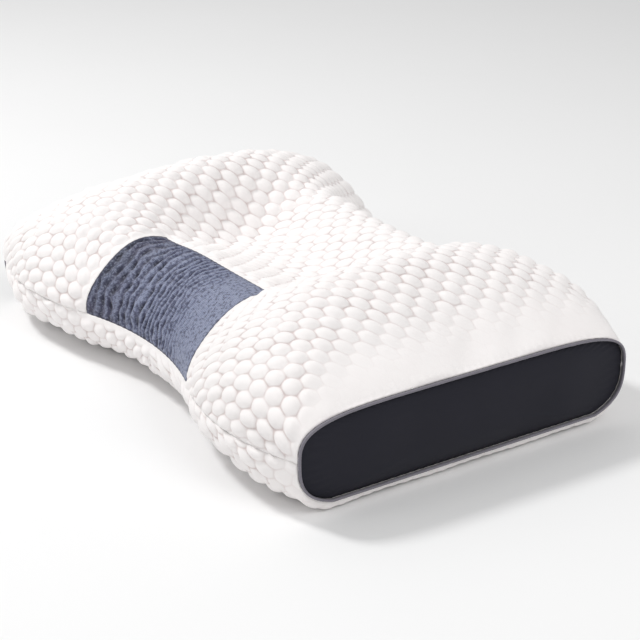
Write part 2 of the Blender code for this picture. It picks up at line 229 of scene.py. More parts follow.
def puffs(places, seed):
    """Height from 0 to about 1 of the knit's round puffs."""
    a, b = places[..., 0], places[..., 1] / ROW_PITCH
    first = np.full(a.shape, 9.0)
    second = np.full(a.shape, 9.0)
    vigour = np.ones(a.shape)
    for r in (-1, 0, 1):
        row = np.round(b) + r
        shift = 0.5 * np.mod(row, 2)
        for k in (-1, 0, 1):
            at = np.round(a - shift) + shift + k
            chance = hash_unit(at, row, seed)
            distance = np.hypot(a - at, (b - row) * ROW_PITCH)
            nearer = distance < first
            second = np.where(nearer, first, np.minimum(second, distance))
            vigour = np.where(nearer, 0.85 + 0.3 * chance, vigour)
            first = np.minimum(first, distance)
    crease = smoothstep(second - first, 0.0, CREASE_WIDTH)
    dome = (1 - np.minimum(first / PUFF_REACH, 1) ** 2.0) ** PUFF_ROUND
    return dome * (1 - CREASE_DEPTH + CREASE_DEPTH * crease) * vigour


def softened(height):
    """The height averaged with its neighbours', so that creases run smoothly across the grid."""
    for axis in (0, 1):
        index = np.arange(height.shape[axis])
        before = np.take(height, np.maximum(index - 1, 0), axis=axis)
        after = np.take(height, np.minimum(index + 1, index[-1]), axis=axis)
        height = 0.5 * height + 0.25 * (before + after)
    return height


def link_object(name, data):
    made = bpy.data.objects.new(name, data)
    bpy.context.scene.collection.objects.link(made)
    return made


def object_from(name, bm):
    """A new object that takes up the mesh under construction."""
    mesh = bpy.data.meshes.new(name)
    bm.to_mesh(mesh)
    bm.free()
    return link_object(name, mesh)


def open_mesh(piece):
    bm = bmesh.new()
    bm.from_mesh(piece.data)
    bm.verts.ensure_lookup_table()
    return bm


def store_mesh(bm, piece):
    bm.to_mesh(piece.data)
    bm.free()
    piece.data.shade_smooth()


def mesh_object(name, points, faces, uv=None):
    """A smooth-shaded mesh object. uv gives each point's place on its flat cloth, in metres."""
    mesh = bpy.data.meshes.new(name)
    mesh.vertices.add(len(points))
    mesh.vertices.foreach_set("co", points.astype(np.float32).ravel())
    mesh.loops.add(faces.size)
    mesh.loops.foreach_set("vertex_index", faces.ravel().astype(np.int32))
    mesh.polygons.add(len(faces))
    mesh.polygons.foreach_set("loop_start", np.arange(0, faces.size, faces.shape[1], dtype=np.int32))
    if uv is not None:
        layer = mesh.uv_layers.new(name="cloth")
        layer.data.foreach_set("uv", uv[faces.ravel()].astype(np.float32).ravel())
    mesh.update(calc_edges=True)
    mesh.shade_smooth()
    return link_object(name, mesh)


def grid_faces(rows, columns, closed=False, ring=False):
    """Squares between a grid's points. closed joins its last column to the first, ring its last row."""
    index = np.arange(rows * columns).reshape(rows, columns)
    if ring:
        index = np.concatenate([index, index[:1]], axis=0)
    if closed:
        index = np.concatenate([index, index[:, :1]], axis=1)
    return np.stack([index[:-1, :-1], index[1:, :-1], index[1:, 1:], index[:-1, 1:]], axis=-1)


def add_uv(piece, name, places):
    """Gives every vertex its place on a second, named map."""
    layer = piece.data.uv_layers.new(name=name)
    index = np.empty(len(piece.data.loops), np.int32)
    piece.data.loops.foreach_get("vertex_index", index)
    layer.data.foreach_set("uv", places[index].astype(np.float32).ravel())


def grid_object(name, points, uv, keep=None, puff=None, flip=False, places=None):
    """A sheet through a grid of points; keep says which of its squares are there."""
    faces = grid_faces(*points.shape[:2])
    if flip:
        faces = faces[..., ::-1]
    faces = faces.reshape(-1, 4) if keep is None else faces[keep]
    used, faces = np.unique(faces, return_inverse=True)
    faces = faces.reshape(-1, 4)
    piece = mesh_object(name, points.reshape(-1, 3)[used], faces, uv.reshape(-1, 2)[used])
    # The puff attribute carries the masks for painted light: on the covers it weights the painted shade in
    # the creases, on the neck panel it sets painted shade and highlight.
    if puff is not None:
        attribute = piece.data.attributes.new("puff", "FLOAT", "POINT")
        attribute.data.foreach_set("value", puff.reshape(-1)[used].astype(np.float32))
    if places is not None:
        add_uv(piece, "puffs", places.reshape(-1, 2)[used])
    return piece


def face_outwards(piece):
    bm = open_mesh(piece)
    bmesh.ops.recalc_face_normals(bm, faces=bm.faces)
    store_mesh(bm, piece)


def loft_object(name, rings):
    """A closed skin round rings of points, with its ends drawn in to their middles."""
    shares = (0.965, 0.86, 0.62, 0.34, 0.08)
    first = [rings[0].mean(0) + (rings[0] - rings[0].mean(0)) * s for s in reversed(shares)]
    last = [rings[-1].mean(0) + (rings[-1] - rings[-1].mean(0)) * s for s in shares]
    rings = np.concatenate([np.array(first), rings, np.array(last)])
    rows, columns = rings.shape[:2]
    faces = grid_faces(rows, columns, closed=True).reshape(-1, 4)
    piece = mesh_object(name, rings.reshape(-1, 3), faces)
    bm = open_mesh(piece)
    for start in (0, (rows - 1) * columns):
        bm.faces.new([bm.verts[start + i] for i in range(columns)])
    store_mesh(bm, piece)
    face_outwards(piece)
    return piece


def hem_direction(vert):
    """Into the pillow, and away from the end panels beside them."""
    inward = -vert.normal
    if abs(vert.co.x) > HALF_LENGTH - 0.001:
        inward = Vector((0, inward.y, inward.z)).normalized() * 0.1
        inward.x = -math.copysign(1.3, vert.co.x)
    return inward


def turn_in(piece):
    """Turns the cloth's cut edges under, into the pillow."""
    bm = open_mesh(piece)
    bm.normal_update()
    edges = [e for e in bm.edges if e.is_boundary]
    inward = {v: hem_direction(v) for e in edges for v in e.verts}
    for depth in HEM:
        made = bmesh.ops.extrude_edge_only(bm, edges=edges)["geom"]
        edges = [g for g in made if isinstance(g, bmesh.types.BMEdge) and g.is_boundary]
        new = [g for g in made if isinstance(g, bmesh.types.BMVert)]
        near = {v: [e.other_vert(v) for e in v.link_edges] for v in new}
        step = {v: next(inward[w] for w in near[v] if w in inward) for v in new}
        for vert in new:
            vert.co += step[vert] * depth
        inward = step
    store_mesh(bm, piece)


def finish_piece(piece, material, body, node):
    """Gives a piece its material and body, and hides the CAD node that it stands for."""
    piece.data.materials.append(material)
    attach(piece, body)
    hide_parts(node)
    return piece


# ---- materials ----

class Recipe:
    """A node material under construction."""

    def __init__(self, name, **settings):
        self.material = bpy.data.materials.new(name)
        self.material.use_nodes = True
        self.tree = self.material.node_tree
        self.shader = self.tree.nodes["Principled BSDF"]
        for key, value in settings.items():
            self.shader.inputs[key.replace("_", " ")].default_value = value

    def node(self, kind, **settings):
        made = self.tree.nodes.new(kind)
        for key, value in settings.items():
            setattr(made, key, value)
        return made

    def feed(self, socket, value):
        if isinstance(value, bpy.types.NodeSocket):
            self.tree.links.new(value, socket)
        else:
            socket.default_value = value

    def maths(self, operation, *values):
        made = self.node("ShaderNodeMath", operation=operation)
        for socket, value in zip(made.inputs, values):
            self.feed(socket, value)
        return made.outputs[0]

    def mix(self, factor, first, second):
        made = self.node("ShaderNodeMix", data_type="RGBA")
        self.feed(made.inputs["Factor"], factor)
        self.feed(made.inputs[6], first)
        self.feed(made.inputs[7], second)
        return made.outputs[2]

    def ramp(self, value, low, high):
        made = self.node("ShaderNodeMapRange", interpolation_type="SMOOTHSTEP")
        self.feed(made.inputs["Value"], value)
        self.feed(made.inputs["From Min"], low)
        self.feed(made.inputs["From Max"], high)
        return made.outputs[0]

    def place(self):
        return self.node("ShaderNodeTexCoord").outputs["Object"]

    def cloth(self):
        return self.node("ShaderNodeUVMap", uv_map="cloth").outputs[0]

    def noise(self, vector, scale, detail=3.0, roughness=0.5):
        made = self.node("ShaderNodeTexNoise")
        self.feed(made.inputs["Vector"], vector)
        self.feed(made.inputs["Scale"], scale)
        self.feed(made.inputs["Detail"], detail)
        self.feed(made.inputs["Roughness"], roughness)
        return made.outputs["Fac"]

    def split(self, vector):
        made = self.node("ShaderNodeSeparateXYZ")
        self.feed(made.inputs[0], vector)
        return made.outputs

    def bump(self, height, distance, strength=1.0, after=None):
        made = self.node("ShaderNodeBump")
        self.feed(made.inputs["Height"], height)
        self.feed(made.inputs["Distance"], distance)
        self.feed(made.inputs["Strength"], strength)
        if after is not None:
            self.feed(made.inputs["Normal"], after)
        return made.outputs[0]

    def knit_loops(self, vector, wale, course):
        """Height of the V-shaped loops of a plain knit, by the size of one loop."""
        across, along, _ = self.split(vector)
        wales = self.maths("DIVIDE", across, wale)
        part = self.maths("PINGPONG", wales, 0.5)
        courses = self.maths("ADD", self.maths("DIVIDE", along, course), part)
        loop = self.maths("PINGPONG", courses, 0.5)
        groove = self.maths("PINGPONG", self.maths("ADD", wales, 0.5), 0.5)
        return self.maths("ADD", self.maths("MULTIPLY", loop, 1.2), groove)

    def weave(self, vector, pitch):
        """Height of a plain weave's threads."""
        across, along, _ = self.split(vector)
        rate = 2 * math.pi / pitch
        warp = self.maths("SINE", self.maths("MULTIPLY", across, rate))
        weft = self.maths("SINE", self.maths("MULTIPLY", along, rate))
        return self.maths("MULTIPLY", warp, weft)

    def colour(self, value):
        self.feed(self.shader.inputs["Base Color"], value)

    def roughness(self, value):
        self.feed(self.shader.inputs["Roughness"], value)

    def normal(self, value):
        self.feed(self.shader.inputs["Normal"], value)


def attribute(recipe, name):
    return recipe.node("ShaderNodeAttribute", attribute_name=name).outputs["Fac"]


def crease_shade_mask(recipe):
    """Mask for painted shade: 1 on the creases between the puffs, most of all where three of them meet, 0
    over their tops.
    """
    across, along, _ = recipe.split(recipe.node("ShaderNodeUVMap", uv_map="puffs").outputs[0])
    reaches, radii = [], []
    for shift_x, shift_y in ((0.0, 0.0), (0.5, ROW_PITCH)):
        x = recipe.maths("ADD", across, shift_x)
        y = recipe.maths("ADD", along, shift_y)
        x = recipe.maths("PINGPONG", x, 0.5)
        y = recipe.maths("PINGPONG", y, ROW_PITCH)
        slant = recipe.maths("ADD", recipe.maths("MULTIPLY", x, 0.5), recipe.maths("MULTIPLY", y, ROW_PITCH))
        reaches.append(recipe.maths("MAXIMUM", x, slant))
        square = recipe.maths("ADD", recipe.maths("MULTIPLY", x, x), recipe.maths("MULTIPLY", y, y))
        radii.append(recipe.maths("SQRT", square))
    line = recipe.ramp(recipe.maths("MINIMUM", *reaches), 0.43, 0.50)
    round_rim = recipe.ramp(recipe.maths("MINIMUM", *radii), 0.40, 0.58)
    return recipe.maths("MULTIPLY_ADD", line, 0.35, recipe.maths("MULTIPLY", round_rim, 0.80))


def knit_material():
    recipe = Recipe("white_bubble_knit", Roughness=0.82, Sheen_Weight=0.25, Sheen_Roughness=0.45)
    cloth = recipe.cloth()
    # Painted shade in the creases between the puffs: pinkish grey there, weighted by the puff attribute and
    # varied at random.
    crease = recipe.maths("MULTIPLY", crease_shade_mask(recipe), attribute(recipe, "puff"))
    uneven = recipe.ramp(recipe.noise(recipe.place(), 55.0, 2.0), 0.30, 0.70)
    crease = recipe.maths("MULTIPLY", crease, recipe.maths("MULTIPLY_ADD", uneven, 0.75, 0.40))
    cloud = recipe.noise(recipe.place(), 14.0, 2.0)
    white = recipe.mix(cloud, (0.915, 0.875, 0.865, 1), (0.915, 0.89, 0.883, 1))
    recipe.colour(recipe.mix(crease, white, (0.70, 0.61, 0.595, 1)))
    loops = recipe.knit_loops(cloth, 0.0014, 0.0011)
    fuzz = recipe.noise(recipe.place(), 900.0, 2.0)
    fine = recipe.bump(fuzz, 0.0002, 0.5, recipe.bump(loops, 0.00025, 0.6))
    recipe.normal(recipe.bump(recipe.maths("SUBTRACT", 1.0, crease), 0.0008, 0.7, fine))
    return recipe.material


def slate_material():
    recipe = Recipe("slate_ripple_knit", Roughness=0.60, Sheen_Weight=0.15, Sheen_Roughness=0.35)
    place = recipe.place()
    cloth = recipe.cloth()
    across = recipe.split(place)[0]
    cloud = recipe.noise(place, 30.0, 3.0)
    # Darker towards the left end and paler towards the right: part the cloth's own tone, part painted shade.
    tone_and_shade = recipe.maths("ADD", across, recipe.maths("MULTIPLY", cloud, 0.05))
    pale_and_lit = recipe.ramp(tone_and_shade, -0.105, 0.005)
    tint = recipe.ramp(recipe.noise(place, 22.0, 2.0), 0.40, 0.60)
    dusky_and_shaded = recipe.mix(tint, (0.034, 0.024, 0.060, 1), (0.018, 0.027, 0.058, 1))
    body = recipe.mix(pale_and_lit, dusky_and_shaded, (0.134, 0.152, 0.256, 1))
    puff = attribute(recipe, "puff")
    # Painted highlight on the crests of the ridges, stronger towards the paler right end.
    gleam = recipe.maths("MULTIPLY_ADD", pale_and_lit, 0.34, 0.10)
    lit = recipe.mix(recipe.ramp(puff, 0.68, 1.0), body, recipe.mix(gleam, body, (0.46, 0.52, 0.70, 1)))
    # Painted shade in the grooves and hollows between the ridges and in a thin line along the seams, from the
    # puff attribute.
    shade = recipe.mix(recipe.ramp(puff, 0.05, 0.85), (0.009, 0.009, 0.022, 1), lit)
    threads = recipe.knit_loops(cloth, 0.0011, 0.0018)
    speckle = recipe.noise(place, 330.0, 3.0)
    dark_fleck = recipe.ramp(speckle, 0.52, 0.36)
    pale_fleck = recipe.ramp(speckle, 0.48, 0.64)
    shade = recipe.mix(recipe.maths("MULTIPLY", dark_fleck, 0.70), shade, (0.030, 0.031, 0.075, 1))
    heather = recipe.mix(recipe.maths("MULTIPLY", pale_fleck, 0.52), shade, (0.34, 0.37, 0.50, 1))
    between = recipe.mix(0.55, shade, (0.02, 0.02, 0.04, 1))
    recipe.colour(recipe.mix(recipe.ramp(threads, 0.0, 0.9), between, heather))
    recipe.normal(recipe.bump(threads, 0.0004, 0.8))
    return recipe.material


def navy_material():
    recipe = Recipe("navy_fine_knit", Roughness=0.85, Sheen_Weight=0.03, Sheen_Roughness=0.4)
    cloth = recipe.cloth()
    loops = recipe.knit_loops(cloth, 0.0011, 0.0009)
    cloud = recipe.noise(recipe.place(), 25.0, 4.0)
    body = recipe.mix(cloud, (0.0030, 0.0030, 0.011, 1), (0.0060, 0.0058, 0.017, 1))
    recipe.colour(recipe.mix(recipe.ramp(loops, 0.1, 1.0), (0.0035, 0.0035, 0.009, 1), body))
    recipe.normal(recipe.bump(loops, 0.0003, 0.6))
    return recipe.material


def piping_material():
    recipe = Recipe("grey_piping_tape", Roughness=0.65, Sheen_Weight=0.2)
    cloth = recipe.cloth()
    across, along, _ = recipe.split(cloth)
    twill = recipe.maths("ADD", recipe.maths("DIVIDE", across, 0.0011), recipe.maths("DIVIDE", along, 0.0011))
    ribs = recipe.maths("PINGPONG", twill, 0.5)
    wear = recipe.noise(recipe.place(), 60.0, 3.0)
    body = recipe.mix(wear, (0.17, 0.16, 0.19, 1), (0.26, 0.245, 0.285, 1))
    recipe.colour(recipe.mix(recipe.ramp(ribs, 0.05, 0.4), (0.11, 0.10, 0.125, 1), body))
    recipe.normal(recipe.bump(ribs, 0.0003, 0.8))
    return recipe.material


def fibre_material():
    recipe = Recipe("fibre_fill", Roughness=0.95, Sheen_Weight=0.3)
    place = recipe.place()
    strands = recipe.noise(place, 260.0, 6.0, 0.7)
    cloud = recipe.noise(place, 35.0, 3.0)
    recipe.colour(recipe.mix(cloud, (0.80, 0.80, 0.78, 1), (0.92, 0.92, 0.91, 1)))
    recipe.normal(recipe.bump(strands, 0.0012, 0.8))
    return recipe.material


def liner_material():
    recipe = Recipe("liner_nonwoven", Roughness=0.88)
    place = recipe.place()
    spots = recipe.node("ShaderNodeTexVoronoi")
    recipe.feed(spots.inputs["Vector"], place)
    recipe.feed(spots.inputs["Scale"], 480.0)
    dots = recipe.ramp(spots.outputs["Distance"], 0.15, 0.45)
    recipe.colour(recipe.mix(dots, (0.70, 0.70, 0.70, 1), (0.82, 0.82, 0.82, 1)))
    recipe.normal(recipe.bump(dots, 0.0002, 0.6))
    return recipe.material


def tape_material():
    recipe = Recipe("woven_zip_tape", Roughness=0.72, Sheen_Weight=0.15)
    cloth = recipe.cloth()
    threads = recipe.weave(cloth, 0.0009)
    cloud = recipe.noise(recipe.place(), 80.0, 2.0)
    body = recipe.mix(cloud, (0.70, 0.70, 0.71, 1), (0.80, 0.80, 0.81, 1))
    recipe.colour(recipe.mix(recipe.ramp(threads, -0.6, 0.6), (0.60, 0.60, 0.62, 1), body))
    recipe.normal(recipe.bump(threads, 0.00025, 0.7))
    return recipe.material


def coil_material():
    recipe = Recipe("nylon_coil", Roughness=0.32, Coat_Weight=0.15, Coat_Roughness=0.2)
    cloud = recipe.noise(recipe.place(), 400.0, 2.0)
    recipe.colour(recipe.mix(cloud, (0.66, 0.66, 0.67, 1), (0.78, 0.78, 0.79, 1)))
    recipe.roughness(recipe.maths("MULTIPLY_ADD", cloud, 0.2, 0.22))
    return recipe.material


def metal_material():
    recipe = Recipe("nickel_plate", Metallic=1.0, Roughness=0.25)
    place = recipe.place()
    stretch = recipe.node("ShaderNodeMapping")
    recipe.feed(stretch.inputs["Vector"], place)
    stretch.inputs["Scale"].default_value = (300.0, 300.0, 4000.0)
    brush = recipe.noise(stretch.outputs[0], 1.0, 4.0)
    wear = recipe.noise(place, 300.0, 4.0, 0.7)
    recipe.colour(recipe.mix(recipe.ramp(wear, 0.35, 0.7), (0.46, 0.45, 0.44, 1), (0.66, 0.66, 0.67, 1)))
    recipe.roughness(recipe.maths("MULTIPLY_ADD", wear, 0.25, 0.16))
    recipe.normal(recipe.bump(brush, 0.00004, 0.5))
    return recipe.material


def satin_material():
    recipe = Recipe("satin_ribbon", Roughness=0.38, Sheen_Weight=0.3, Anisotropic=0.4)
    cloth = recipe.cloth()
    ribs = recipe.maths("SINE", recipe.maths("MULTIPLY", recipe.split(cloth)[1], 2 * math.pi / 0.0006))
    cloud = recipe.noise(recipe.place(), 90.0, 2.0)
    recipe.colour(recipe.mix(cloud, (0.84, 0.84, 0.83, 1), (0.92, 0.92, 0.91, 1)))
    recipe.normal(recipe.bump(ribs, 0.00008, 0.5))
    return recipe.material


# ---- covers ----

def cover_columns(step):
    panel = round(NECK_PANEL_HALF / step)
    wing = round((HALF_LENGTH - NECK_PANEL_HALF) / step)
    inner = np.linspace(0, NECK_PANEL_HALF, panel + 1)
    outer = np.linspace(NECK_PANEL_HALF, HALF_LENGTH, wing + 1)[1:]
    half = np.concatenate([inner, outer])
    return np.concatenate([-half[:0:-1], half])


def puffs_from_seam(gap, width=0.0035):
    """0 in the flat cloth on a seam, rising to 1 at the given distance."""
    return smoothstep(gap, 0.0002, width)


def puff_strength(x, y):
    """How full the puffs are: the cloth is pulled flat beside the end panels."""
    width = 0.010 + (SMOOTH_END - 0.010) * smoothstep(y, -0.205, -0.120)
    drawn = smoothstep(HALF_LENGTH - np.abs(x), 0.25 * width, 1.25 * width)
    hollow = hump(x, 0.0, 0.09) * hump(y, 0.01, 0.07)
    return (0.04 + 0.96 * drawn) * (1 - 0.15 * hollow)


def zip_mouth(x):
    """1 along the zip, falling to 0 past the ends of its tapes."""
    reach = WAIST_ARC * math.sin(TAPE_HALF_ANGLE)
    return 1 - smoothstep(np.abs(x), reach - 0.012, reach + 0.003)


def open_for_zip(points, back_gap, sign):
    """Draws the cloth beside the back seam away from the zip, and keeps it clear of the slider."""
    mouth = zip_mouth(points[..., 0]) * (1 - smoothstep(back_gap, 0.0, ZIP_LIP))
    points[..., 2] += sign * (ZIP_MOUTH - SEAM_SPLIT) * mouth
    return points


def seam_lift(u, gap, seed):
    """The valley along a seam, and the small puckers that the stitches draw across it."""
    pucker = 0.5 + 0.5 * np.sin(u * 2 * math.pi / 0.0085 + 2.5 * waves(u, u, 0.05, seed))
    depth = 0.0006 + 0.0008 * smoothstep(np.abs(u), 0.24, 0.29)
    return -depth * hump(gap, 0.0, 0.0035) - 0.0006 * pucker * hump(gap, 0.003, 0.005)


def panel_distances(run, side_gap):
    """Distance behind the neck panel's back seam, and distance from the panel's nearest seam."""
    depth_gap = run - run[:, [TOP_FRONT_ROWS]]
    beyond = np.hypot(np.maximum(side_gap, 0), depth_gap)
    return depth_gap, np.abs(np.where(depth_gap < 0, side_gap, beyond))


def squares_round_panel(x, rows):
    """Which squares of the upper cover's grid are there: all but those over the neck panel."""
    keep = np.ones((len(x) - 1, rows - 1), bool)
    inside = np.abs(x[1:] + x[:-1]) / 2 < NECK_PANEL_HALF
    keep[inside, :TOP_FRONT_ROWS] = False
    return keep


def make_top_cover(knit):
    x = cover_columns(TOP_STEP)
    ones = np.ones(x.shape)
    edge = across_at(x, NECK_PANEL_BACK_Y * ones)
    front = even_rows(x, -ones, edge, True, TOP_FRONT_ROWS)
    back = even_rows(x, edge, ones, True, TOP_BACK_ROWS)
    points = section_points(x[:, None], np.concatenate([front, back[:, 1:]], axis=1), True)
    px, py = points[..., 0], points[..., 1]
    normals = grid_normals(points)
    run = run_lengths(points)
    middle = np.array([np.interp(0.0, row, r) for row, r in zip(py, run)])
    u = np.broadcast_to(cloth_along(x)[:, None], run.shape)
    v = run - middle[:, None]
    front_gap, back_gap, end_gap = run, run[:, -1:] - run, HALF_LENGTH - np.abs(px)
    depth_gap, panel_gap = panel_distances(run, np.abs(px) - NECK_PANEL_HALF)
    mouth = zip_mouth(px) * (1 - smoothstep(back_gap, *ZIP_BAND))
    seam_gap = np.minimum(front_gap, back_gap)
    edges = puffs_from_seam(seam_gap) * puffs_from_seam(end_gap) * (1 - mouth)
    edges = edges * smoothstep(panel_gap, 0.002, 0.011)
    strength = puff_strength(px, py) * edges
    places = puff_places(u, v)
    height = softened(puffs(places, 3))
    lift = PUFF_HEIGHT * (height - PUFF_LEVEL) * strength
    lift += 0.0013 * waves(u, v, 0.10, 5) * edges
    lift += 0.0009 * waves(u, v, 0.045, 6) * edges * (1 - 0.6 * strength)
    lift += seam_lift(u, front_gap, 7) + seam_lift(u, back_gap, 8) * (1 - 0.7 * mouth)
    lift += 0.8 * seam_lift(v, end_gap, 9)
    lift += 0.6 * seam_lift(np.where(depth_gap > 0, u, v), panel_gap, 10)
    cover = points + level_at_seam(normals, seam_gap) * lift[..., None]
    cover[..., 2] += SEAM_SPLIT * (1 - smoothstep(seam_gap, 0.0, 0.004))
    cover = open_for_zip(cover, back_gap, 1)
    keep = squares_round_panel(x, run.shape[1])
    top = grid_object("knit_cover_top", cover, np.stack([u, v], -1), keep, strength, places=places)
    turn_in(top)
    return finish_piece(top, knit, "pillow", "top_cover")


def make_bottom_cover(knit):
    x = cover_columns(BASE_STEP)
    ones = np.ones(x.shape)
    points = section_points(x[:, None], even_rows(x, ones, -ones, False, BASE_ROWS), False)
    px = points[..., 0]
    normals = grid_normals(points)
    run = run_lengths(points)
    u = np.broadcast_to(cloth_along(x)[:, None], run.shape)
    v = run[:, -1:] / 2 - run
    back_gap, front_gap, end_gap = run, run[:, -1:] - run, HALF_LENGTH - np.abs(px)
    seam_gap = np.minimum(front_gap, back_gap)
    mouth = zip_mouth(px) * (1 - smoothstep(back_gap, *ZIP_BAND))
    below_panel = 1 - smoothstep(np.abs(px), NECK_PANEL_HALF, NECK_PANEL_HALF + 0.02)
    band = 1 - below_panel * (1 - smoothstep(front_gap, 0.004, 0.012))
    edges = puffs_from_seam(seam_gap) * puffs_from_seam(end_gap) * (1 - mouth) * band
    strength = edges * (0.25 + 0.75 * smoothstep(end_gap, 0.004, 0.045))
    under_label = smoothstep(-np.abs(px - LABEL_X), -LABEL_WIDTH / 2 - 0.008, -LABEL_WIDTH / 2 + 0.002)
    strength = strength * (1 - 0.65 * under_label * smoothstep(-back_gap, -LABEL_DROP - 0.008, -LABEL_DROP))
    places = puff_places(u, v)
    height = softened(puffs(places, 4))
    lift = PUFF_HEIGHT * (height - PUFF_LEVEL) * strength
    lift += 0.0012 * waves(u, v, 0.09, 15) * edges
    lift += seam_lift(u, front_gap, 7) + seam_lift(u, back_gap, 8) * (1 - 0.7 * mouth)
    lift += 0.8 * seam_lift(v, end_gap, 19)
    cover = points + level_at_seam(normals, seam_gap) * lift[..., None]
    below = 1 - smoothstep(cover[..., 2], 0.012, 0.040)
    bulge = hump(end_gap, 0.009, 0.009) * smoothstep(end_gap, 0.0, 0.004) * below
    cover[..., 0] += np.sign(px) * 0.0030 * bulge
    cover[..., 2] -= 0.0062 * bulge
    cover[..., 2] -= SEAM_SPLIT * (1 - smoothstep(seam_gap, 0.0, 0.004))
    cover = open_for_zip(cover, back_gap, -1)
    over_floor = (cover[..., 2] - FLOOR_GAP) / FLOOR_ROUND
    cover[..., 2] = FLOOR_GAP + np.logaddexp(0, over_floor) * FLOOR_ROUND
    uv = np.stack([u, v], -1)
    base = grid_object("knit_cover_bottom", cover, uv, None, strength, places=places)
    turn_in(base)
    return finish_piece(base, knit, "pillow", "bottom_cover")


def ripples(u, run):
    """Wavy grooves from front to back, closer together and shallower towards one end."""
    line = np.linspace(-0.13, 0.13, 400)
    pitch = 0.0070 + 0.0065 * (1 - smoothstep(line, -0.085, 0.030))
    count = np.cumsum(1 / pitch) * (line[1] - line[0])
    at = np.interp(u, line, count) + 0.42 * waves(u, run, 0.050, 21) + 0.14 * waves(u, run, 0.02, 25)
    column = np.round(at)
    groove = np.exp(-(((at - column) / 0.25) ** 2))
    shift = hash_unit(column, 0.0, 3.0)
    row = run / 0.0185 + 0.5 * np.mod(column, 2) + 0.5 * shift + 0.12 * waves(u, run, 0.05, 26)
    chance = hash_unit(column, np.round(row), 5.0)
    hollow = np.exp(-(((row - np.round(row)) / 0.34) ** 2)) * (0.50 + 0.75 * chance)
    fade = 1 - 0.90 * smoothstep(u + 0.12 * (run - 0.06), -0.010, 0.080)
    return groove, hollow, fade


def make_neck_panel(slate):
    """The slate panel over the neck roll, with ridges over the roll and hollows between them."""
    steps = round(2 * NECK_PANEL_HALF / PANEL_STEP)
    reach = NECK_PANEL_HALF - SEAM_SPLIT
    x = np.linspace(-reach, reach, steps)
    ones = np.ones(x.shape)
    rows = even_rows(x, -ones, across_at(x, (NECK_PANEL_BACK_Y - SEAM_SPLIT) * ones), True, 116)
    points = section_points(x[:, None], rows, True)
    normals = grid_normals(points)
    run = run_lengths(points)
    u = np.broadcast_to(x[:, None], run.shape)
    gap = np.minimum(np.minimum(run, run[:, -1:] - run), reach - np.abs(u))
    edges = smoothstep(gap, 0.0, 0.006)
    groove, hollow, fade = ripples(u, run)
    lift = -0.0042 * groove * (0.25 + 0.75 * hollow) * edges * fade
    lift += 0.0011 * waves(u, run, 0.07, 22) * edges + 0.0005 * waves(u, run, 0.02, 24) * edges
    lift += seam_lift(u, run, 7) + 0.6 * seam_lift(u, run[:, -1:] - run, 10)
    lift += 0.6 * seam_lift(run, reach - np.abs(u), 10)
    cover = points + level_at_seam(normals, run) * lift[..., None]
    cover[..., 2] += SEAM_SPLIT * (1 - smoothstep(run, 0.0, 0.004))
    # Share of painted light: low in the grooves and hollows and along the seams, where the slate gets painted
    # shade; stored as the puff attribute.
    painted_light_share = (1 - groove * (0.35 + 0.65 * hollow) * fade) * smoothstep(gap, 0.0, 0.0025)
    panel = grid_object("slate_neck_panel", cover, np.stack([u, run], -1), None, painted_light_share)
    turn_in(panel)
    return finish_piece(panel, slate, "pillow", "neck_panel")


# ---- end panels and piping ----

def outward_normals(loop):
    """Directions straight out of a closed outline in an end's plane."""
    tangent = np.roll(loop, -1, axis=0) - np.roll(loop, 1, axis=0)
    outward = np.stack([tangent[:, 1], -tangent[:, 0]], axis=1)
    outward /= np.linalg.norm(outward, axis=1, keepdims=True) + 1e-12
    return outward * np.sign(np.sum(outward * (loop - END_MIDDLE), axis=1, keepdims=True))


def end_outline(inset, steps):
    """The end's outline in its plane as evenly spaced (y, z), and its length."""
    across = np.linspace(-1, 1, 600)
    ends = np.full(across.shape, HALF_LENGTH)
    top = section_points(ends, across, True)[:, 1:]
    base = section_points(ends, across[::-1], False)[:, 1:]
    loop = np.concatenate([base, top[1:-1]])
    loop = loop - outward_normals(loop) * inset
    closed = np.concatenate([loop, loop[:1]])
    run = np.concatenate([[0.0], np.cumsum(np.linalg.norm(np.diff(closed, axis=0), axis=1))])
    even = np.linspace(0, run[-1], steps, endpoint=False)
    return np.stack([np.interp(even, run, closed[:, i]) for i in (0, 1)], axis=1), run[-1]


def end_panel_rings(side):
    """Rings from the tucked rim in to the middle of a low crown."""
    outline, length = end_outline(END_INSET, END_STEPS)
    around = np.arange(END_STEPS) / END_STEPS * length
    pucker = 0.5 + 0.5 * np.sin(around * 2 * math.pi / 0.0105 + 2 * waves(around, around, 0.06, 31))
    rings = []
    for share in np.concatenate([np.linspace(1, 0.86, 13), np.linspace(0.84, 0.04, 26)]):
        flat = END_MIDDLE + (outline - END_MIDDLE) * share
        edge_gap = (1 - share) * 0.045
        crown = END_CROWN * (1 - share**3.2) - 0.0022
        x = crown - 0.0007 * pucker * hump(edge_gap, 0.0025, 0.003)
        x = x + 0.0011 * waves(flat[:, 0], flat[:, 1], 0.09, 33) * (1 - share**6)
        rings.append(np.concatenate([side * (HALF_LENGTH + x)[:, None], flat], axis=1))
    rim = rings[0] + np.array([-side * 0.004, 0, 0])
    return np.array([rim] + rings)


def close_middle(panel, side):
    """Fans the last ring in to one point, and turns all faces outwards."""
    bm = open_mesh(panel)
    last = [bm.verts[len(bm.verts) - END_STEPS + i] for i in range(END_STEPS)]
    layer = bm.loops.layers.uv.active
    centre = bm.verts.new(sum((v.co for v in last), Vector()) / END_STEPS)
    for first, second in zip(last, last[1:] + last[:1]):
        for loop in bm.faces.new([first, second, centre]).loops:
            loop[layer].uv = loop.vert.co.yz
    bmesh.ops.recalc_face_normals(bm, faces=bm.faces)
    bm.normal_update()
    if (centre.normal.x > 0) != (side > 0):
        bmesh.ops.reverse_faces(bm, faces=bm.faces)
    store_mesh(bm, panel)


